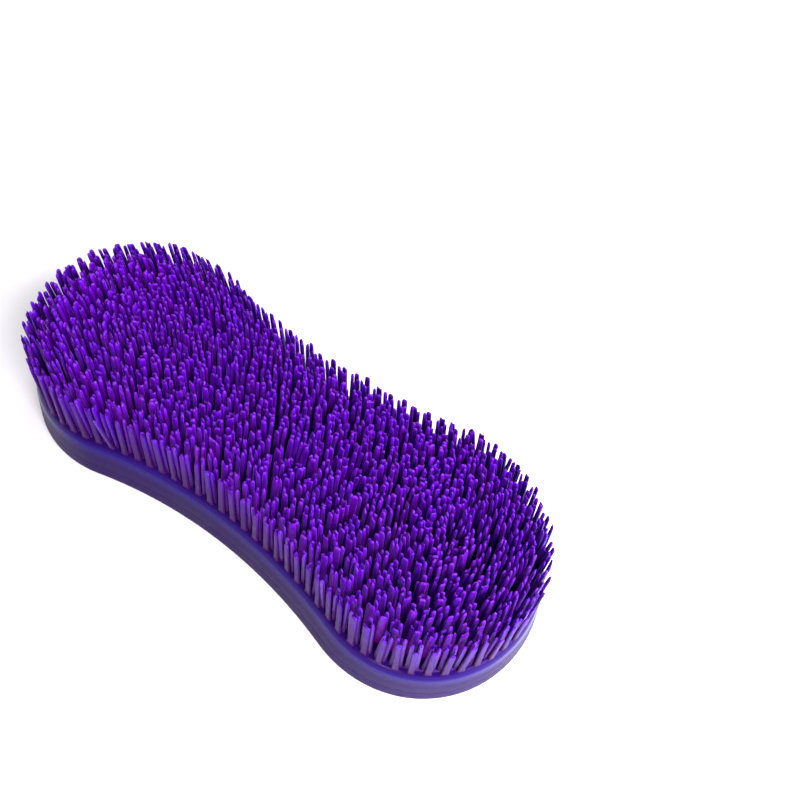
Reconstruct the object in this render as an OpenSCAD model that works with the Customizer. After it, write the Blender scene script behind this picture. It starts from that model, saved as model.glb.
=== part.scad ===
// Oval rubber curry brush with a hollow back, standing on its rim with the bristles up.
// The origin is at the middle of the rest plane and +X runs along the length.

/* [Body] */
// Length over both round lobes
body_l = 170; // [150:1:190]
// Radius of each round lobe
lobe_r = 35.2; // [33:0.2:38]
// Width across the narrow waist
waist_w = 56.8; // [54:0.2:60]

/* [Skirt] */
// Height of the skirt, from the rest plane to the bristle bed
skirt_h = 13.6; // [12.5:0.1:16]
// How far the skirt leans in over its height
skirt_draft = 2.6; // [1.5:0.1:3]
// Thickness of the rim
rim_t = 2.8; // [2.5:0.1:3.5]
// Radius on the two corners of the rim
rim_round = 1.1; // [0.5:0.1:1.2]
// Height of the rim band, up to the parting line
band_h = 4.6; // [4:0.1:6]
// How far the rim band stands proud of the skirt at the parting line
band_step = 0.25; // [0:0.05:0.4]

/* [Hollow back] */
// Depth of the ledge inside the skirt
ledge_depth = 8; // [7:0.1:9]
// Width of the ledge
ledge_w = 1.8; // [1:0.1:2.5]
// Depth of the palm plate inside the hollow
palm_depth = 10.6; // [9.8:0.1:11]
// Radius of the cove round the palm plate
cove_r = 1.2; // [0.5:0.1:1.5]

/* [Bristles] */
// Thickness of the bristle bed above the skirt
bed_t = 1.5; // [1:0.1:2]
// Radius of the bed's rounded edge
bed_round = 1; // [0.5:0.1:1]
// Height of the brush, from the rest plane to the bristle tips
brush_h = 32; // [28:0.5:36]
// Inset of the outer row of tufts from the rim's outline
edge_inset = 4.9; // [4.7:0.1:6]
// Distance between tufts along a row
tuft_pitch = 4; // [3.9:0.1:5]
// Width of the flat blade of a tuft
blade_w = 2.3; // [1.5:0.1:2.6]
// Thickness of the blade at its root
blade_t = 0.9; // [0.6:0.05:1]
// Blade height as a share of the tuft
blade_share = 0.93; // [0.7:0.01:0.95]
// Thickness of a prong at its root
prong_t = 0.9; // [0.6:0.05:1]
// Gap between the blade and the prongs behind it
tuft_gap = 0.1; // [0.05:0.05:0.2]
// Thickness left at a tip, as a share of the root
tip_share = 0.7; // [0.5:0.05:1]
// How far the outer tufts lean in at their tips
edge_lean = 2.6; // [0:0.1:3]

/* [Hidden] */
$fn = 96;

// Outline: two lobe circles joined by two waist arcs that are tangent to both
half_w = waist_w / 2;
lobe_x = body_l / 2 - lobe_r;
waist_r = (lobe_x * lobe_x + half_w * half_w - lobe_r * lobe_r) / (2 * (lobe_r - half_w));
waist_y = half_w + waist_r;
waist_a = atan2(lobe_x, waist_y);
lobe_a = 90 + waist_a;

// Skirt profile
band_in = skirt_draft * (band_h - rim_round) / (skirt_h - rim_round);
ledge_in = rim_t + ledge_w;
bed_top = skirt_h + bed_t;
tuft_h = brush_h - bed_top;
prong_y = (blade_w - prong_t) / 2;
web_in = half_w / 2;
web_lap = 0.7 * web_in;
web_sides = 40;

// Rows of tufts: full rings, then arcs inside the lobes, then a straight spine
ring_rows = 6;
row_pitch = (half_w - edge_inset) / ring_rows;
core_r = lobe_r - edge_inset - (ring_rows - 1) * row_pitch;
core_step = core_r / 3;
core_keep = 0.75 * core_step;
height_spread = 1.2;
prong_spread = 2.2;
round_steps = 6;

// Length of the outline at an inset, and of its two kinds of arc
function lobe_len(d) = (lobe_r - d) * lobe_a * 2 * PI / 180;
function waist_len(d) = (waist_r + d) * waist_a * 2 * PI / 180;
function ring_len(d) = 2 * (lobe_len(d) + waist_len(d));

// Place on the outline at an inset and a length: x, y and the direction facing outwards
function on_lobe(d, a) = [lobe_x + (lobe_r - d) * cos(a), (lobe_r - d) * sin(a), a];
function on_waist(d, a) = [(waist_r + d) * sin(a), waist_y - (waist_r + d) * cos(a), 90 + a];
function on_half(d, s) =
    s < lobe_len(d)
        ? on_lobe(d, (s / lobe_len(d) * 2 - 1) * lobe_a)
        : on_waist(d, (1 - (s - lobe_len(d)) / waist_len(d) * 2) * waist_a);
function half_turn(p) = [-p[0], -p[1], p[2] + 180];
function on_ring(d, s) =
    s < ring_len(d) / 2
        ? on_half(d, s)
        : half_turn(on_half(d, s - ring_len(d) / 2));

function ring_inset(row) = edge_inset + (row - 1) * row_pitch;
function ring_spots(d) =
    let (n = round(ring_len(d) / tuft_pitch))
    [for (i = [0 : n - 1]) on_ring(d, (i + 0.5) * ring_len(d) / n)];
function core_spots() = [
    for (step = [1, 2], p = ring_spots(lobe_r - step * core_step))
        if (p[1] * sign(sin(p[2])) > core_keep) p
];
function spine_spots() =
    let (reach = lobe_x + 2 * core_step, n = round(2 * reach / tuft_pitch))
    [for (i = [0 : n]) [-reach + 2 * reach * i / n, 0, 90]];

// A repeatable spread between 0 and 1
function scatter(seed) = abs(sin(seed * 7919.7)) * 0.999;
function lean_at(row) = edge_lean * (1 - (row - 1) / ring_rows);

// Sweeps a profile round the outline: x is outwards from the rim's outline and y is up
module sweep_round() {
    for (side = [0, 180]) {
        rotate([0, 0, side])
            translate([lobe_x, 0, 0])
                rotate([0, 0, -lobe_a])
                    rotate_extrude(angle = 2 * lobe_a)
                        translate([lobe_r, 0])
                            children();
        rotate([0, 0, side])
            translate([0, waist_y, 0])
                rotate([0, 0, -90 - waist_a])
                    rotate_extrude(angle = 2 * waist_a)
                        translate([waist_r, 0])
                            mirror([1, 0])
                                children();
    }
}

// Quarter round of radius r in a corner: it starts beside the corner and ends above or below it
function rounded(x, y, side, up, r) = [
    for (i = [0 : round_steps])
        let (a = 90 * i / round_steps)
        [x + side * r * (1 - sin(a)), y + up * r * (1 - cos(a))]
];
function reversed(points) = [for (i = [len(points) - 1 : -1 : 0]) points[i]];

// Rounded band round the mouth of the hollow, up to the parting line
module rim_band() {
    color("mediumpurple")
        sweep_round()
            polygon(concat(
                [[-band_in, band_h], [-rim_t, band_h]],
                reversed(rounded(-rim_t, 0, 1, 1, rim_round)),
                rounded(0, 0, -1, 1, rim_round)
            ));
}

// Leaning wall above the parting line, with the ledge and the cove on its inside
module skirt_wall() {
    color("slateblue")
        sweep_round()
            polygon(concat(
                [[-band_in - band_step, band_h], [-skirt_draft, skirt_h], [-ledge_in - cove_r, skirt_h]],
                rounded(-ledge_in, palm_depth, -1, -1, cove_r),
                [[-ledge_in, ledge_depth], [-rim_t, ledge_depth], [-rim_t, band_h]]
            ));
}

// Smooth plate at the bottom of the hollow, inside the cove
module palm_plate() {
    color("indigo") {
        sweep_round()
            polygon([
                [-web_in, palm_depth],
                [-ledge_in - cove_r, palm_depth],
                [-ledge_in - cove_r, skirt_h],
                [-web_in, skirt_h]
            ]);
        web(palm_depth, skirt_h);
    }
}

// Bed that the bristles stand on, with a rounded edge
module bristle_bed() {
    color("indigo") {
        sweep_round()
            polygon(concat(
                [[-web_in, bed_top]],
                rounded(-skirt_draft, bed_top, -1, -1, bed_round),
                [[-skirt_draft, skirt_h], [-web_in, skirt_h]]
            ));
        web(skirt_h, bed_top);
    }
}

// Middle of a plate: its straight sides end inside the swept edge round it
module web(low, high) {
    translate([0, 0, low])
        linear_extrude(high - low)
            polygon([
                for (i = [0 : web_sides - 1])
                    let (p = on_ring(web_lap, (i + 0.5) * ring_len(web_lap) / web_sides))
                    [p[0], p[1]]
            ]);
}

// One flat-sided bristle: it tapers from its root and leans back by lean
module bristle(out, across, width, thick, height, lean) {
    tip = thick * tip_share;
    translate([out, across + width / 2, bed_top])
        rotate([90, 0, 0])
            linear_extrude(width)
                polygon([[0, 0], [thick, 0], [(thick + tip) / 2 - lean, height], [(thick - tip) / 2 - lean, height]]);
}

// Puts a tuft's parts at each spot, facing outwards, with its own height
module at_spots(spots, seed) {
    for (i = [0 : len(spots) - 1])
        translate([spots[i][0], spots[i][1], 0])
            rotate([0, 0, spots[i][2]]) {
                $tall = tuft_h - height_spread * scatter(seed + i);
                $drop = prong_spread * scatter(seed + i + 0.5);
                children();
            }
}

module blades(spots, lean, seed) {
    color("rebeccapurple")
        at_spots(spots, seed)
            bristle(tuft_gap / 2, 0, blade_w, blade_t, $tall * blade_share, lean * blade_share);
}

module prongs(spots, lean, seed) {
    color("blueviolet")
        at_spots(spots, seed)
            for (side = [-1, 1])
                prong(-tuft_gap / 2 - prong_t, side * prong_y, side > 0 ? $tall : $tall - $drop, lean);
}

module prong(out, across, height, lean) {
    bristle(out, across, prong_t, prong_t, height, lean * height / tuft_h);
}

module blades_row_1() { blades(ring_spots(ring_inset(1)), lean_at(1), 100); }
module blades_row_2() { blades(ring_spots(ring_inset(2)), lean_at(2), 300); }
module blades_row_3() { blades(ring_spots(ring_inset(3)), lean_at(3), 500); }
module blades_row_4() { blades(ring_spots(ring_inset(4)), lean_at(4), 700); }
module blades_row_5() { blades(ring_spots(ring_inset(5)), lean_at(5), 900); }
module blades_row_6() { blades(ring_spots(ring_inset(6)), lean_at(6), 1100); }
module blades_core() { blades(core_spots(), 0, 1300); }
module blades_spine() { blades(spine_spots(), 0, 1500); }
module prongs_row_1() { prongs(ring_spots(ring_inset(1)), lean_at(1), 100); }
module prongs_row_2() { prongs(ring_spots(ring_inset(2)), lean_at(2), 300); }
module prongs_row_3() { prongs(ring_spots(ring_inset(3)), lean_at(3), 500); }
module prongs_row_4() { prongs(ring_spots(ring_inset(4)), lean_at(4), 700); }
module prongs_row_5() { prongs(ring_spots(ring_inset(5)), lean_at(5), 900); }
module prongs_row_6() { prongs(ring_spots(ring_inset(6)), lean_at(6), 1100); }
module prongs_core() { prongs(core_spots(), 0, 1300); }
module prongs_spine() { prongs(spine_spots(), 0, 1500); }

rim_band();
skirt_wall();
palm_plate();
bristle_bed();
blades_row_1();
blades_row_2();
blades_row_3();
blades_row_4();
blades_row_5();
blades_row_6();
blades_core();
blades_spine();
prongs_row_1();
prongs_row_2();
prongs_row_3();
prongs_row_4();
prongs_row_5();
prongs_row_6();
prongs_core();
prongs_spine();
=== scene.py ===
import bpy
import math
import random
import numpy as np
from mathutils import Matrix, Vector


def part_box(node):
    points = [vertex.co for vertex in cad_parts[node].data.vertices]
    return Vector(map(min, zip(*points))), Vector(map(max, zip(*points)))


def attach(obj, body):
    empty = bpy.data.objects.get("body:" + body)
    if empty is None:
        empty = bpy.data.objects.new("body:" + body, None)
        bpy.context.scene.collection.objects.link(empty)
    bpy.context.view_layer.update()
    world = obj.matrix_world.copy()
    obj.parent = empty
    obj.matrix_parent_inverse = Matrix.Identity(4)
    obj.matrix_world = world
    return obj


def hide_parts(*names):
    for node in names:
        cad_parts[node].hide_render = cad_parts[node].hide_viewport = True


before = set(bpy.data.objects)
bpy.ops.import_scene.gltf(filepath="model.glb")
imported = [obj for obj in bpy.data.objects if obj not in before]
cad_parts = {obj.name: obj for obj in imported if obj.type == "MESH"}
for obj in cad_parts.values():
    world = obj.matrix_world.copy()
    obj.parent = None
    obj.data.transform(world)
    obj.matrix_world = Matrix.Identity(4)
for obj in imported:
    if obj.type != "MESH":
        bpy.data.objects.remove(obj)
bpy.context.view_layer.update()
mm = 0.001


def pickOnly(obj):
    bpy.ops.object.select_all(action="DESELECT")
    obj.select_set(True)
    bpy.context.view_layer.objects.active = obj


def pickNothing(mesh):
    for part in (mesh.vertices, mesh.edges, mesh.polygons):
        part.foreach_set("select", [False] * len(part))


def pickVerts(obj, wanted):
    # selects vertices by their place, with the object in object mode
    pickNothing(obj.data)
    for vert in obj.data.vertices:
        vert.select = bool(wanted(vert.co))


def editMode(obj):
    pickOnly(obj)
    bpy.ops.object.mode_set(mode="EDIT")
    bpy.ops.mesh.select_mode(type="VERT")


def objectMode():
    bpy.ops.object.mode_set(mode="OBJECT")


def declare(piece, node):
    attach(piece, "root")
    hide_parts(node)


# outline: two lobe circles joined by two waist arcs; sizes of the shell and the bristles are in mm
outline = {"waistHalf": 28.4, "lobeSteps": 60, "waistSteps": 24, "mergeWithin": 0.002, "smoothDeg": 40}
rimLow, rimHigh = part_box("rim_band")
bedLow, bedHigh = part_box("bristle_bed")
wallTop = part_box("skirt_wall")[1].z / mm
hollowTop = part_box("palm_plate")[0].z / mm
bedTop = bedHigh.z / mm
lobeR = (rimHigh.y - rimLow.y) / 2 / mm
lobeX = rimHigh.x / mm - lobeR
waistHalf = outline["waistHalf"]
waistR = (lobeX ** 2 + waistHalf ** 2 - lobeR ** 2) / (2 * (lobeR - waistHalf))
waistY = waistHalf + waistR
waistTurn = math.atan2(lobeX, waistY)
lobeTurn = math.pi / 2 + waistTurn


def cornerArc(x, z, radius, startDeg, endDeg, steps):
    # points of a round with its centre at x, z
    points = []
    for step in range(steps + 1):
        turn = math.radians(startDeg + (endDeg - startDeg) * step / steps)
        points.append((x + radius * math.cos(turn), z + radius * math.sin(turn)))
    return points


def drawProfile(name, profile, closed):
    # the section as a line of edges, at the end of the right lobe
    startX = (lobeX + lobeR) * mm
    first = profile[0]
    bpy.ops.object.select_all(action="DESELECT")
    bpy.ops.mesh.primitive_plane_add(size=mm, location=(0, 0, 0))
    piece = bpy.context.object
    piece.name = name
    piece.data.name = name
    editMode(piece)
    bpy.ops.mesh.select_all(action="SELECT")
    bpy.ops.mesh.merge(type="CENTER")
    bpy.ops.mesh.select_all(action="SELECT")
    bpy.ops.transform.translate(value=(startX + first[0] * mm, 0, first[1] * mm))
    last = first
    for point in profile[1:] + ([first] if closed else []):
        step = ((point[0] - last[0]) * mm, 0, (point[1] - last[1]) * mm)
        bpy.ops.mesh.extrude_region_move(TRANSFORM_OT_translate={"value": step})
        last = point
    return piece


def pickHoleEdge(piece, level):
    # selects the open edge loop at one height
    mesh = piece.data
    used = {}
    for face in mesh.polygons:
        for key in face.edge_keys:
            used[key] = used.get(key, 0) + 1
    pickNothing(mesh)
    for edge in mesh.edges:
        flat = all(abs(mesh.vertices[i].co.z - level * mm) < 0.001 * mm for i in edge.vertices)
        if flat and used.get(edge.key, 0) == 1:
            edge.select = True
            for i in edge.vertices:
                mesh.vertices[i].select = True


def spinRound(name, profile, closed=True):
    # profile: points outwards from the outline and up; it is spun once round the whole outline
    piece = drawProfile(name, profile, closed)
    bpy.ops.mesh.select_all(action="SELECT")
    turns = [
        (lobeX, 0, lobeTurn, outline["lobeSteps"]),
        (0, waistY, -2 * waistTurn, outline["waistSteps"]),
        (-lobeX, 0, 2 * lobeTurn, 2 * outline["lobeSteps"]),
        (0, -waistY, -2 * waistTurn, outline["waistSteps"]),
        (lobeX, 0, lobeTurn, outline["lobeSteps"]),
    ]
    for centreX, centreY, angle, steps in turns:
        # spin turns clockwise for a positive angle
        bpy.ops.mesh.spin(steps=steps, angle=-angle, center=(centreX * mm, centreY * mm, 0), axis=(0, 0, 1))
    bpy.ops.mesh.select_all(action="SELECT")
    bpy.ops.mesh.remove_doubles(threshold=outline["mergeWithin"] * mm)
    if not closed:
        for level in (profile[0][1], profile[-1][1]):
            objectMode()
            pickHoleEdge(piece, level)
            bpy.ops.object.mode_set(mode="EDIT")
            bpy.ops.mesh.edge_face_add()
        bpy.ops.mesh.select_all(action="SELECT")
    bpy.ops.mesh.normals_make_consistent(inside=False)
    objectMode()
    bpy.ops.object.shade_smooth_by_angle(angle=math.radians(outline["smoothDeg"]))
    return piece


rimBand = {
    "bead": 1.1, "lipInset": 2.8, "lipMiddleZ": 2.4, "beadSteps": 10,
    "bandTop": 4.6, "leanAtTop": 0.728, "sideMiddleZ": 2.6,
    "seamRound": 0.04, "seamStartDeg": 75, "seamSteps": 4,
}


def makeRimBand():
    v = rimBand
    bead = v["bead"]
    beadZ = rimLow.z / mm + bead
    profile = cornerArc(-bead, beadZ, bead, 0, -90, v["beadSteps"])
    profile += cornerArc(-v["lipInset"] + bead, beadZ, bead, -90, -180, v["beadSteps"])
    profile += [(-v["lipInset"], v["lipMiddleZ"]), (-v["lipInset"], v["bandTop"])]
    seamX = -v["leanAtTop"] - v["seamRound"]             # the top edge is eased at the parting line
    profile += [(seamX, v["bandTop"])]
    seamZ = v["bandTop"] - v["seamRound"]
    profile += cornerArc(seamX, seamZ, v["seamRound"], v["seamStartDeg"], 0, v["seamSteps"])
    profile += [(-v["leanAtTop"] * 0.5, v["sideMiddleZ"])]
    return spinRound("rimBand", profile)


# the outside rolls over from the wall to the bed in one quarter of an oval
shoulder = {"middleIn": 5.2, "middleZ": 10.2, "across": 3.0, "startZ": 12.0, "steps": 10}


def shoulderPart(lowZ, highZ):
    # points of the oval between two heights
    v = shoulder
    high = bedTop - v["middleZ"]
    start, end = (math.asin(min(1, (z - v["middleZ"]) / high)) for z in (lowZ, highZ))
    points = []
    for step in range(v["steps"] + 1):
        turn = start + (end - start) * step / v["steps"]
        points.append((-v["middleIn"] + v["across"] * math.cos(turn), v["middleZ"] + high * math.sin(turn)))
    return points


skirtWall = {
    "bandTop": 4.6, "outAtBand": -0.775, "belly": 0.1, "bellySteps": 8,
    "ledgeDepth": 8.0, "ledgeInset": 4.6, "ledgeRound": 0.35, "ledgeSteps": 5,
    "coveRadius": 1.2, "coveSteps": 8, "innerFace": 2.8, "innerMiddleZ": 6.2,
}


def makeSkirtWall():
    v = skirtWall
    rolled = shoulderPart(shoulder["startZ"], wallTop)
    profile = []
    for step in range(v["bellySteps"]):                  # the outside leans in with a slight belly
        part = step / v["bellySteps"]
        out = v["outAtBand"] + (rolled[0][0] - v["outAtBand"]) * part + v["belly"] * math.sin(math.pi * part)
        profile.append((out, v["bandTop"] + (shoulder["startZ"] - v["bandTop"]) * part))
    inner = -v["ledgeInset"] - v["coveRadius"]
    profile += rolled + [(inner, wallTop)]
    profile += cornerArc(inner, hollowTop - v["coveRadius"], v["coveRadius"], 90, 0, v["coveSteps"])
    small = v["ledgeRound"]
    profile += cornerArc(-v["ledgeInset"] + small, v["ledgeDepth"] + small, small, 180, 270, v["ledgeSteps"])
    profile += cornerArc(-v["innerFace"] - small, v["ledgeDepth"] - small, small, 90, 0, v["ledgeSteps"])
    profile += [(-v["innerFace"], v["innerMiddleZ"]), (-v["innerFace"], v["bandTop"])]
    return spinRound("skirtWall", profile)


bristleBed = {"plateInset": 14.0, "flatInset": 6.5}


def makeBristleBed():
    v = bristleBed
    low = bedLow.z / mm
    profile = [(-v["plateInset"], low)] + shoulderPart(low, bedTop)
    profile += [(-v["flatInset"], bedTop), (-v["plateInset"], bedTop)]
    return spinRound("bristleBed", profile, closed=False)


def newMaterial(name):
    material = bpy.data.materials.new(name)
    material.use_nodes = True
    tree = material.node_tree
    tree.nodes.clear()
    out = tree.nodes.new("ShaderNodeOutputMaterial")
    shader = tree.nodes.new("ShaderNodeBsdfPrincipled")
    tree.links.new(shader.outputs["BSDF"], out.inputs["Surface"])
    return material, tree, shader


def linear(colour):
    # 0-255 screen values to the values that a shader takes
    made = []
    for value in colour:
        part = value / 255
        made.append(part / 12.92 if part <= 0.04045 else ((part + 0.055) / 1.055) ** 2.4)
    return (*made, 1)


def ramp(tree, factor, stops):
    node = tree.nodes.new("ShaderNodeValToRGB")
    elements = node.color_ramp.elements
    while len(elements) < len(stops):
        elements.new(0.5)
    for element, (place, colour) in zip(elements, stops):
        element.position = place
        element.color = linear(colour)
    tree.links.new(factor, node.inputs["Fac"])
    return node.outputs["Color"]


def noise(tree, coords, scale, detail, rough):
    node = tree.nodes.new("ShaderNodeTexNoise")
    node.inputs["Scale"].default_value = scale
    node.inputs["Detail"].default_value = detail
    node.inputs["Roughness"].default_value = rough
    tree.links.new(coords, node.inputs["Vector"])
    return node.outputs["Fac"]


def mapRange(tree, value, low, high, toLow, toHigh):
    node = tree.nodes.new("ShaderNodeMapRange")
    for name, number in (("From Min", low), ("From Max", high), ("To Min", toLow), ("To Max", toHigh)):
        node.inputs[name].default_value = number
    tree.links.new(value, node.inputs["Value"])
    return node.outputs["Result"]


def sums(tree, kind, first, second):
    node = tree.nodes.new("ShaderNodeMath")
    node.operation = kind
    for socket, value in zip(node.inputs, (first, second)):
        if isinstance(value, (int, float)):
            socket.default_value = value
        else:
            tree.links.new(value, socket)
    return node.outputs[0]


def blendColours(tree, factor, first, second):
    node = tree.nodes.new("ShaderNodeMix")
    node.data_type = "RGBA"
    tree.links.new(factor, node.inputs["Factor"])
    tree.links.new(first, node.inputs["A"])
    tree.links.new(second, node.inputs["B"])
    return node.outputs["Result"]


def bump(tree, shader, height, strength, distance):
    node = tree.nodes.new("ShaderNodeBump")
    node.inputs["Strength"].default_value = strength
    node.inputs["Distance"].default_value = distance
    tree.links.new(height, node.inputs["Height"])
    tree.links.new(node.outputs["Normal"], shader.inputs["Normal"])


# colours are 0-255 screen values; the shoulder's heights are in metres
shellFinish = {
    "rim": {"dark": (26, 4, 60), "light": (32, 7, 70), "rough": (0.40, 0.52), "gloss": 0.06},
    "skirt": {
        "dark": (26, 4, 60), "light": (32, 7, 70), "rough": (0.40, 0.52), "gloss": 0.06,
        # shoulder: a colour blended in by height on the rolled top, painted light
        "shoulder": (24, 0, 96), "shoulderFrom": 0.0088, "shoulderTo": 0.0132, "shoulderRough": 0.14,
    },
    "palm": {"dark": (46, 10, 118), "light": (60, 16, 140), "rough": (0.16, 0.30), "gloss": 0.5},
    "bed": {"dark": (26, 1, 70), "light": (32, 2, 84), "rough": (0.18, 0.28), "gloss": 0.12},
}
# each pattern: scale, detail, roughness
shellGrain = {
    "cloud": (60, 4, 0.55), "grain": (1800, 3, 0.6), "fleck": (900, 2, 0.5),
    "cloudStops": (0.3, 0.7), "cloudShare": 0.6, "fleckShare": 0.4, "spread": (0.35, 0.65),
    "bump": (0.12, 0.00006), "tint": (0.6, 0.4, 1.0, 1.0),
}


def shellRubber(name, values):
    # moulded rubber: soft cloudy colour, fine grain and a little dust in the gloss
    v = shellGrain
    material, tree, shader = newMaterial(name)
    coords = tree.nodes.new("ShaderNodeTexCoord").outputs["Object"]
    cloud = noise(tree, coords, *v["cloud"])
    grain = noise(tree, coords, *v["grain"])
    fleck = noise(tree, coords, *v["fleck"])
    colour = ramp(tree, cloud, list(zip(v["cloudStops"], (values["dark"], values["light"]))))
    cloudPart = sums(tree, "MULTIPLY", cloud, v["cloudShare"])
    fleckPart = sums(tree, "MULTIPLY", fleck, v["fleckShare"])
    rough = mapRange(tree, sums(tree, "ADD", cloudPart, fleckPart), *v["spread"], *values["rough"])
    if "shoulder" in values:                             # the shoulder is polished, and by height it is given a brighter, purer violet than the wall: painted light on the rolled top
        split = tree.nodes.new("ShaderNodeSeparateXYZ")
        tree.links.new(coords, split.inputs["Vector"])
        share = mapRange(tree, split.outputs["Z"], values["shoulderFrom"], values["shoulderTo"], 0, 1)
        # painted light: the brighter, purer violet of the rolled top
        clear = ramp(tree, cloud, [(place, values["shoulder"]) for place in v["cloudStops"]])
        colour = blendColours(tree, share, colour, clear)
        drop = sums(tree, "MULTIPLY", share, sums(tree, "SUBTRACT", rough, values["shoulderRough"]))
        rough = sums(tree, "SUBTRACT", rough, drop)
    tree.links.new(colour, shader.inputs["Base Color"])
    tree.links.new(rough, shader.inputs["Roughness"])
    shader.inputs["Specular IOR Level"].default_value = values["gloss"]
    shader.inputs["Specular Tint"].default_value = v["tint"]
    bump(tree, shader, grain, *v["bump"])
    return material


# stops run from the root, 0, to the tip, 1; a bristle's tone mixes stops with warm. Along the height the
# stops paint light and shade: the edge rows are darker at the root as painted shade, the inner rows are
# lighter at the root and darker below the cap to offset the shade between them and the light on their tops,
# and the last stop is a painted highlight on the tip's rim
bristleFinish = {
    # the edge rows: darker copies of the same rubber, painted shade set against the stronger light they stand
    # in
    "edgeBladesPaintedDarker": {
        "stops": [(0, (44, 9, 66)), (0.35, (44, 8, 84)), (0.95, (56, 6, 122)), (0.985, (82, 28, 156))],
        "warm": [(0, (50, 14, 60)), (0.35, (50, 12, 76)), (0.95, (66, 10, 114)), (0.985, (90, 34, 144))],
        "rough": 0.5, "gloss": 0.09, "glow": 0.2, "sheen": 0.12,
    },
    "edgeProngsPaintedDarker": {
        "stops": [(0, (50, 3, 88)), (0.45, (60, 3, 126)), (0.955, (68, 3, 146)), (0.985, (90, 26, 168))],
        "warm": [(0, (56, 6, 74)), (0.45, (68, 5, 108)), (0.955, (80, 8, 130)), (0.985, (100, 34, 154))],
        "rough": 0.45, "gloss": 0.15, "glow": 0.25, "sheen": 0.25,
    },
    "blades": {
        "stops": [(0, (118, 3, 182)), (0.45, (114, 3, 190)), (0.955, (82, 3, 158)), (0.985, (98, 30, 170))],
        "warm": [(0, (116, 4, 152)), (0.45, (116, 4, 162)), (0.955, (90, 5, 144)), (0.985, (108, 38, 158))],
        "rough": 0.44, "gloss": 0.18, "glow": 0.3, "sheen": 0.35,
    },
    "prongs": {
        "stops": [(0, (118, 3, 182)), (0.45, (114, 3, 194)), (0.955, (84, 3, 162)), (0.985, (100, 32, 174))],
        "warm": [(0, (116, 4, 152)), (0.45, (116, 4, 164)), (0.955, (92, 7, 146)), (0.985, (110, 40, 160))],
        "rough": 0.42, "gloss": 0.18, "glow": 0.3, "sheen": 0.35,
    },
}
bristleGrain = {
    "streak": (1500, 3, 0.6), "streakStretch": 0.14, "streakShift": 0.16, "grain": (2600, 2, 0.5),
    "toneShare": 0.6, "warmSpread": (0.35, 0.65), "warmShare": (-0.25, 0.4),
    "roughSpread": (0.3, 0.7), "smoother": 0.08, "rougher": 0.1,
    "polishFrom": 0.93, "polishTo": 0.98, "polish": 0.22,
    "glowRadius": (0.9, 0.2, 1.0), "glowScale": 0.0014,
    "sheenRough": 0.25, "sheenTint": (0.62, 0.42, 1.0, 1.0),
    "bump": (0.18, 0.00005), "tint": (0.7, 0.35, 1.0, 1.0),
}


def attribute(tree, name):
    node = tree.nodes.new("ShaderNodeAttribute")
    node.attribute_name = name
    return node.outputs["Fac"]


def bristleRubber(name, values):
    # soft rubber that lets light through, with long streaks and a tone of its own for each bristle
    v = bristleGrain
    material, tree, shader = newMaterial(name)
    coords = tree.nodes.new("ShaderNodeTexCoord").outputs["Object"]
    along = attribute(tree, "along")
    tone = attribute(tree, "tone")
    stretch = tree.nodes.new("ShaderNodeMapping")
    stretch.inputs["Scale"].default_value = (1, 1, v["streakStretch"])
    tree.links.new(coords, stretch.inputs["Vector"])
    streak = noise(tree, stretch.outputs["Vector"], *v["streak"])
    grain = noise(tree, coords, *v["grain"])
    shift = sums(tree, "MULTIPLY", sums(tree, "SUBTRACT", streak, 0.5), v["streakShift"])
    place = sums(tree, "ADD", along, shift)
    # painted light and shade along each bristle: both ramps follow the height, so roots and caps get painted
    # shade and the tip's rim a painted highlight
    paintedLightBase = ramp(tree, place, values["stops"])
    paintedLightWarm = ramp(tree, place, values["warm"])
    streakWarm = mapRange(tree, streak, *v["warmSpread"], *v["warmShare"])
    warmShare = sums(tree, "ADD", sums(tree, "MULTIPLY", tone, v["toneShare"]), streakWarm)
    tree.links.new(blendColours(tree, warmShare, paintedLightBase, paintedLightWarm), shader.inputs["Base Color"])
    roughEnds = (values["rough"] - v["smoother"], values["rough"] + v["rougher"])
    rough = mapRange(tree, streak, *v["roughSpread"], *roughEnds)
    polish = mapRange(tree, along, v["polishFrom"], v["polishTo"], 0, v["polish"])     # the torn tips glint
    tree.links.new(sums(tree, "SUBTRACT", rough, polish), shader.inputs["Roughness"])
    shader.inputs["Specular IOR Level"].default_value = values["gloss"]
    shader.inputs["Specular Tint"].default_value = v["tint"]
    shader.inputs["Subsurface Weight"].default_value = values["glow"]
    shader.inputs["Subsurface Radius"].default_value = v["glowRadius"]
    shader.inputs["Subsurface Scale"].default_value = v["glowScale"]
    shader.inputs["Sheen Weight"].default_value = values["sheen"]
    shader.inputs["Sheen Roughness"].default_value = v["sheenRough"]
    shader.inputs["Sheen Tint"].default_value = v["sheenTint"]
    bump(tree, shader, grain, *v["bump"])
    return material


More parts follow.
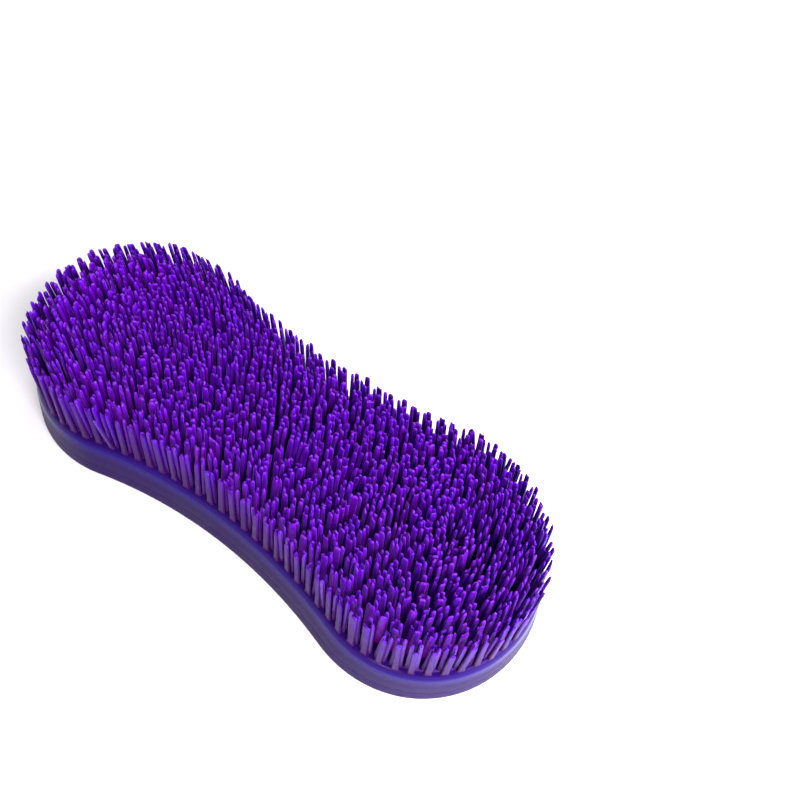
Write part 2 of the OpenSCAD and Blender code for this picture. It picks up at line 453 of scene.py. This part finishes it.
# each bristle shape is modelled once, one unit tall and one unit across
# every ring: height, width, thickness, lean outwards; lifts move corners of the last ring up or down
rootRings = [(0.0, 1.3, 1.35, 0), (0.035, 1.04, 1.04, 0)]
bristleShapes = {
    "roundTip": {
        "rings": rootRings + [
            (0.4, 1.0, 0.97, 0.01), (0.8, 0.9, 0.86, 0.04), (0.94, 0.84, 0.76, 0.06),
            (0.98, 0.66, 0.56, 0.07), (1.0, 0.34, 0.24, 0.07),
        ],
        "lifts": {},
    },
    "flatTip": {
        "rings": rootRings + [
            (0.4, 1.0, 0.97, 0), (0.8, 0.92, 0.88, 0.02), (0.965, 0.84, 0.74, 0.04), (0.99, 0.62, 0.42, 0.04),
        ],
        "lifts": {0: 0.014, 7: 0.01, 3: -0.014},
    },
    "tornTip": {
        "rings": rootRings + [
            (0.4, 1.0, 0.95, -0.02), (0.8, 0.92, 0.82, -0.07), (0.94, 0.88, 0.66, -0.11),
            (0.965, 0.8, 0.36, -0.12),
        ],
        "lifts": {0: 0.05, 1: -0.03, 2: 0.016, 3: -0.025, 4: 0.055, 5: -0.01, 6: -0.035, 7: 0.035},
    },
    "slantTip": {
        "rings": rootRings + [
            (0.4, 1.0, 0.96, 0.02), (0.75, 0.9, 0.88, 0.08), (0.92, 0.8, 0.76, 0.12),
            (0.96, 0.54, 0.42, 0.14),
        ],
        "lifts": {0: 0.045, 1: 0.03, 7: 0.03, 3: -0.02, 4: -0.035, 5: -0.025},
    },
}
bristleCut = {"sides": 8, "flatten": 1.7, "thin": 0.98, "flatPart": 0.3, "pickWithin": 0.03, "smoothDeg": 50}


def makeBristleShape(name, values):
    v = bristleCut
    bpy.ops.object.select_all(action="DESELECT")
    bpy.ops.mesh.primitive_circle_add(vertices=v["sides"], radius=0.5, fill_type="NGON", location=(0, 0, 0))
    unit = bpy.context.object
    unit.name = name
    editMode(unit)
    bpy.ops.mesh.select_all(action="SELECT")
    bpy.ops.transform.rotate(value=math.pi / v["sides"], orient_axis="Z", center_override=(0, 0, 0))
    objectMode()
    pickVerts(unit, lambda co: abs(co.x) < v["flatPart"])     # the round becomes a soft-cornered flat
    editMode(unit)
    bpy.ops.transform.resize(value=(v["flatten"], v["thin"], 1), center_override=(0, 0, 0))
    bpy.ops.mesh.select_all(action="SELECT")
    z, width, thick, lean = values["rings"][0]
    bpy.ops.transform.resize(value=(width, thick, 1), center_override=(0, 0, 0))
    for nextZ, nextWidth, nextThick, nextLean in values["rings"][1:]:
        bpy.ops.mesh.extrude_region_move(TRANSFORM_OT_translate={"value": (0, nextLean - lean, nextZ - z)})
        bpy.ops.transform.resize(
            value=(nextWidth / width, nextThick / thick, 1), center_override=(0, nextLean, nextZ))
        z, width, thick, lean = nextZ, nextWidth, nextThick, nextLean
    objectMode()
    for side, lift in values["lifts"].items():
        turn = math.pi / v["sides"] * (2 * side + 1)
        flat = v["flatten"] if abs(math.cos(turn)) < 2 * v["flatPart"] else 1.0
        spot = Vector((math.cos(turn) * flat * width / 2, math.sin(turn) * thick / 2 + lean, z))
        pickVerts(unit, lambda co: (co - spot).length < v["pickWithin"])
        editMode(unit)
        bpy.ops.transform.translate(value=(0, 0, lift))
        objectMode()
    editMode(unit)
    bpy.ops.mesh.select_all(action="SELECT")
    bpy.ops.mesh.normals_make_consistent(inside=False)
    objectMode()
    bpy.ops.object.shade_smooth_by_angle(angle=math.radians(v["smoothDeg"]))
    heights = [vert.co.z for vert in unit.data.vertices]
    attributes = unit.data.attributes
    attributes.new("along", "FLOAT", "POINT").data.foreach_set("value", heights)
    attributes.new("tone", "FLOAT", "POINT").data.foreach_set("value", [0.0] * len(heights))
    return unit


def cadBristles(node):
    # root middle, tip middle and root corners of every box-shaped bristle in a CAD node
    cornersEach = 24
    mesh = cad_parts[node].data
    points = np.zeros(len(mesh.vertices) * 3)
    mesh.vertices.foreach_get("co", points)
    found = []
    for block in points.reshape(-1, cornersEach, 3) / mm:
        middle = (block[:, 2].min() + block[:, 2].max()) / 2
        low = np.unique(block[block[:, 2] < middle].round(4), axis=0)
        high = np.unique(block[block[:, 2] > middle].round(4), axis=0)
        found.append((low.mean(0), high.mean(0), low))
    return found


def facingOf(corners, root):
    # the direction across the long side of a blade's root, turned outwards
    narrow = min((corners[1:] - corners[0]).tolist(), key=lambda edge: math.hypot(edge[0], edge[1]))
    size = math.hypot(narrow[0], narrow[1])
    facing = Vector((narrow[0] / size, narrow[1] / size, 0))
    outwards = Vector((root[0] - max(-lobeX, min(lobeX, root[0])), root[1], 0))
    return facing if facing.dot(outwards) >= 0 else -facing


# how far the tips stand from their roots, for a bristle of the given height
leanSet = {
    "height": 15.0, "all": -0.75, "out": (-1.05, -2.0), "reach": (85, 36),
    "combed": (2.3, 1.0), "combedX": -10, "combedReach": (62, 30),
    "scatter": 0.24, "strayShare": 0.05, "strayScatter": 0.8,
}


def leanAt(root, height, rng):
    v = leanSet
    share = height / v["height"]
    spread = v["strayScatter"] if rng.random() < v["strayShare"] else v["scatter"]
    # the middle of the field is combed over, the edge is not
    fadeX = max(0, 1 - ((root[0] - v["combedX"]) / v["combedReach"][0]) ** 2)
    fadeY = max(0, 1 - (root[1] / v["combedReach"][1]) ** 2)
    combed = fadeX * fadeY
    x = (v["all"] + v["out"][0] * root[0] / v["reach"][0] + v["combed"][0] * combed) * share
    y = (v["out"][1] * root[1] / v["reach"][1] + v["combed"][1] * combed) * share
    return x + rng.gauss(0, spread), y + rng.gauss(0, spread)


def placeBristle(shape, root, facing, wide, thick, height, lean, tone, turn):
    copy = shape.copy()
    copy.data = shape.data.copy()
    bpy.context.collection.objects.link(copy)
    across = Vector((-facing.y, facing.x, 0))
    facing, across = (
        facing * math.cos(turn) + across * math.sin(turn),
        across * math.cos(turn) - facing * math.sin(turn),
    )
    columns = [-across * wide * mm, facing * thick * mm, Vector((lean[0], lean[1], height)) * mm]
    place = Matrix([[columns[c][r] for c in range(3)] + [root[r] * mm] for r in range(3)] + [[0, 0, 0, 1]])
    copy.data.transform(place)
    copy.data.attributes["tone"].data.foreach_set("value", [tone] * len(copy.data.vertices))
    return copy


# out: outwards from the middle of the tuft; taller: what may be added to the CAD height
# tips: weights of the bristle shapes, in their order
bristleKinds = {
    "edgeBlade": {"out": 0.85, "wide": (1.6, 2.0), "thick": 0.85, "taller": (-0.9, 0.5), "turn": 0.06,
                  "tips": [6, 2, 3, 2]},
    "blade": {"out": 0.85, "wide": (1.7, 2.3), "thick": 0.85, "taller": (-0.9, 0.5), "turn": 0.06,
              "tips": [6, 2, 3, 2]},
    "prong": {"out": -0.25, "wide": (1.05, 1.4), "thick": 1.0, "taller": (-0.6, 0.5), "turn": 0.5,
              "tips": [7, 1, 1, 2]},
    "back": {"out": -1.3, "wide": (1.3, 1.9), "thick": 0.85, "taller": (-2.2, 0.1), "turn": 0.15,
             "tips": [6, 2, 3, 2]},
}
tuftSet = {
    "middleIn": 0.5, "prongAcross": 1.0, "backShare": 0.95, "bladeTall": 1.045,
    "shift": 0.22, "turn": 0.3, "edgeShift": 0.06, "edgeTurn": 0.08, "leanScatter": 0.2, "toneScatter": 0.2,
}


def growBristle(kind, shapes, tuft, side, height, rng):
    # side: -1 or 1 for the two prongs, 0 for the blade in front of them and the bristle behind
    v = bristleKinds[kind]
    spot = tuft["middle"] + tuft["facing"] * v["out"] + tuft["across"] * side * tuftSet["prongAcross"]
    spot.z = bedTop
    height += rng.uniform(*v["taller"])
    shape = rng.choices(list(shapes.values()), v["tips"])[0]
    wide = rng.uniform(*v["wide"])
    x, y = leanAt(spot, height, rng)
    lean = (x + tuft["lean"][0], y + tuft["lean"][1])
    tone = min(1, max(0, tuft["tone"] + rng.gauss(0, tuftSet["toneScatter"])))
    facing = -tuft["facing"] if kind == "back" else tuft["facing"]
    return placeBristle(shape, spot, facing, wide, v["thick"], height, lean, tone, rng.gauss(0, v["turn"]))


def joinRow(name, copies, material):
    bpy.ops.object.select_all(action="DESELECT")
    for copy in copies:
        copy.select_set(True)
    bpy.context.view_layer.objects.active = copies[0]
    bpy.ops.object.join()
    row = bpy.context.object
    row.name = name
    row.data.name = name
    row.data.materials.clear()
    row.data.materials.append(material)
    return row


def makeTufts(zone, shapes, bladeRubber, prongRubber, seed):
    # every root and height is read from the CAD bristles
    v = tuftSet
    rng = random.Random(seed)
    edge = zone == "row_1"
    shift, turn = (v["edgeShift"], v["edgeTurn"]) if edge else (v["shift"], v["turn"])
    prongsFound = cadBristles("prongs_" + zone)
    bladeCopies, prongCopies = [], []
    for root, tip, corners in cadBristles("blades_" + zone):
        facing = facingOf(corners, root)
        moved = Vector((rng.gauss(0, shift), rng.gauss(0, shift), 0))
        middle = Vector(root) - facing * v["middleIn"] + moved
        facing = Matrix.Rotation(rng.gauss(0, turn), 3, "Z") @ facing
        across = Vector((-facing.y, facing.x, 0))
        pair = sorted(prongsFound, key=lambda found: (Vector(found[0]) - Vector(root)).length)[:2]
        pair.sort(key=lambda found: (Vector(found[0]) - Vector(root)).dot(across))
        tuft = {
            "middle": middle, "facing": facing, "across": across,
            "lean": (rng.gauss(0, v["leanScatter"]), rng.gauss(0, v["leanScatter"])), "tone": rng.random(),
        }
        height = (tip[2] - root[2]) * v["bladeTall"]
        bladeCopies.append(growBristle("edgeBlade" if edge else "blade", shapes, tuft, 0, height, rng))
        for side, (low, high, _) in zip((-1, 1), pair):
            prongCopies.append(growBristle("prong", shapes, tuft, side, high[2] - low[2], rng))
        if rng.random() < v["backShare"]:
            height = max(high[2] for _, high, _ in pair) - root[2]
            prongCopies.append(growBristle("back", shapes, tuft, 0, height, rng))
    rows = {"blades_": (bladeCopies, bladeRubber), "prongs_": (prongCopies, prongRubber)}
    for kind, (copies, rubber) in rows.items():
        declare(joinRow(kind + zone + "_rubber", copies, rubber), kind + zone)
    print("tufts", zone, len(bladeCopies), "blades", len(prongCopies), "prongs")


studio = {
    "floorSize": 3.0, "floorDark": (250, 250, 250), "floorLight": (255, 255, 255),
    "paper": (40, 2, 0.5), "paperStops": (0.3, 0.7), "floorRough": 0.9, "floorGloss": 0.1,
    "world": (0.97, 0.95, 1.0), "worldStrength": 0.66,
    "lights": [
        # name, place, width and height, power, colour; each points at the brush
        ("keyLight", (0.55, 0.20, 0.50), (0.35, 0.35), 2.0, (0.92, 0.95, 1.0)),
        ("sideLight", (0.85, -0.12, 0.22), (0.50, 0.35), 11.0, (0.62, 0.56, 1.0)),
        ("frontFill", (0.17, -0.08, 0.24), (0.10, 0.10), 0.7, (1.0, 0.94, 1.0)),
        ("endFill", (0.17, 0.10, 0.19), (0.08, 0.08), 0.6, (0.86, 0.80, 1.0)),
        ("warmFill", (0.21, -0.56, 0.105), (0.20, 0.03), 1.4, (1.0, 0.72, 0.5)),
        ("backLight", (-0.25, 0.70, 0.16), (0.30, 0.30), 2.2, (0.70, 0.86, 1.0)),
    ],
    "target": (0.0, 0.0, 0.015),
}


def makeFloor():
    bpy.ops.object.select_all(action="DESELECT")
    bpy.ops.mesh.primitive_plane_add(size=studio["floorSize"], location=(0, 0, rimLow.z))
    floor = bpy.context.object
    floor.name = "studioFloor"
    material, tree, shader = newMaterial("floorPaper")
    coords = tree.nodes.new("ShaderNodeTexCoord").outputs["Object"]
    paper = noise(tree, coords, *studio["paper"])
    stops = list(zip(studio["paperStops"], (studio["floorDark"], studio["floorLight"])))
    tree.links.new(ramp(tree, paper, stops), shader.inputs["Base Color"])
    shader.inputs["Roughness"].default_value = studio["floorRough"]
    shader.inputs["Specular IOR Level"].default_value = studio["floorGloss"]
    floor.data.materials.append(material)


def makeLights():
    bpy.context.scene.view_settings.view_transform = "Standard"
    world = bpy.data.worlds.new("studioWorld")
    world.use_nodes = True
    background = world.node_tree.nodes["Background"]
    background.inputs["Color"].default_value = (*studio["world"], 1)
    background.inputs["Strength"].default_value = studio["worldStrength"]
    bpy.context.scene.world = world
    for name, place, size, power, colour in studio["lights"]:
        data = bpy.data.lights.new(name, "AREA")
        data.shape = "RECTANGLE"
        data.size, data.size_y = size
        data.energy = power
        data.color = colour
        light = bpy.data.objects.new(name, data)
        light.location = place
        light.rotation_euler = (Vector(studio["target"]) - Vector(place)).to_track_quat("-Z", "Y").to_euler()
        bpy.context.collection.objects.link(light)


# angles in radians, place in metres, lens and film in mm
cameraSet = {
    "place": (0.05985, -0.05984, 0.18025), "yaw": 0.422, "pitch": 1.018, "roll": 0.213,
    "lens": 29.05, "film": 36, "nearest": 0.01,
}


def makeCamera():
    v = cameraSet
    yaw, pitch, roll = v["yaw"], v["pitch"], v["roll"]
    forward = Vector((-math.sin(yaw) * math.cos(pitch), math.cos(yaw) * math.cos(pitch), -math.sin(pitch)))
    right = Vector((math.cos(yaw), math.sin(yaw), 0))
    up = right.cross(forward)
    turnedRight = right * math.cos(roll) + up * math.sin(roll)
    turnedUp = up * math.cos(roll) - right * math.sin(roll)
    data = bpy.data.cameras.new("camera")
    data.sensor_width = v["film"]
    data.lens = v["lens"]
    data.clip_start = v["nearest"]
    camera = bpy.data.objects.new("camera", data)
    bpy.context.collection.objects.link(camera)
    turned = Matrix([[turnedRight[r], turnedUp[r], -forward[r]] for r in range(3)]).to_4x4()
    camera.matrix_world = Matrix.Translation(v["place"]) @ turned
    bpy.context.scene.camera = camera


makeCamera()
makeFloor()
makeLights()
print("studio and camera ready")

shellPieces = [
    (makeRimBand, "rim", "rim_band", "rim_rubber"),
    (makeSkirtWall, "skirt", "skirt_wall", "skirt_rubber"),
    (makeBristleBed, "bed", "bristle_bed", "bed_rubber"),
]
for makePiece, finish, node, slotName in shellPieces:
    piece = makePiece()
    piece.data.materials.append(shellRubber(finish + "Rubber", shellFinish[finish]))
    declare(piece, node)
palmRubber = shellRubber("palmRubber", shellFinish["palm"])
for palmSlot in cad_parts["palm_plate"].material_slots:     # the palm plate keeps its CAD shape
    palmSlot.material = palmRubber
print("shell ready")

shapes = {name: makeBristleShape(name, values) for name, values in bristleShapes.items()}
rubbers = {name: bristleRubber(name + "Rubber", values) for name, values in bristleFinish.items()}
firstSeed = 40
zones = ["row_1", "row_2", "row_3", "row_4", "row_5", "row_6", "core", "spine"]
for seed, zone in enumerate(zones, firstSeed):
    # the edge row takes the darker painted copies and the inner rows the lighter ones, painted shade and
    # painted light for one rubber
    kinds = ("edgeBladesPaintedDarker", "edgeProngsPaintedDarker") if zone == "row_1" else ("blades", "prongs")
    makeTufts(zone, shapes, rubbers[kinds[0]], rubbers[kinds[1]], seed)
for shape in shapes.values():
    bpy.data.objects.remove(shape)
print("tufts ready")
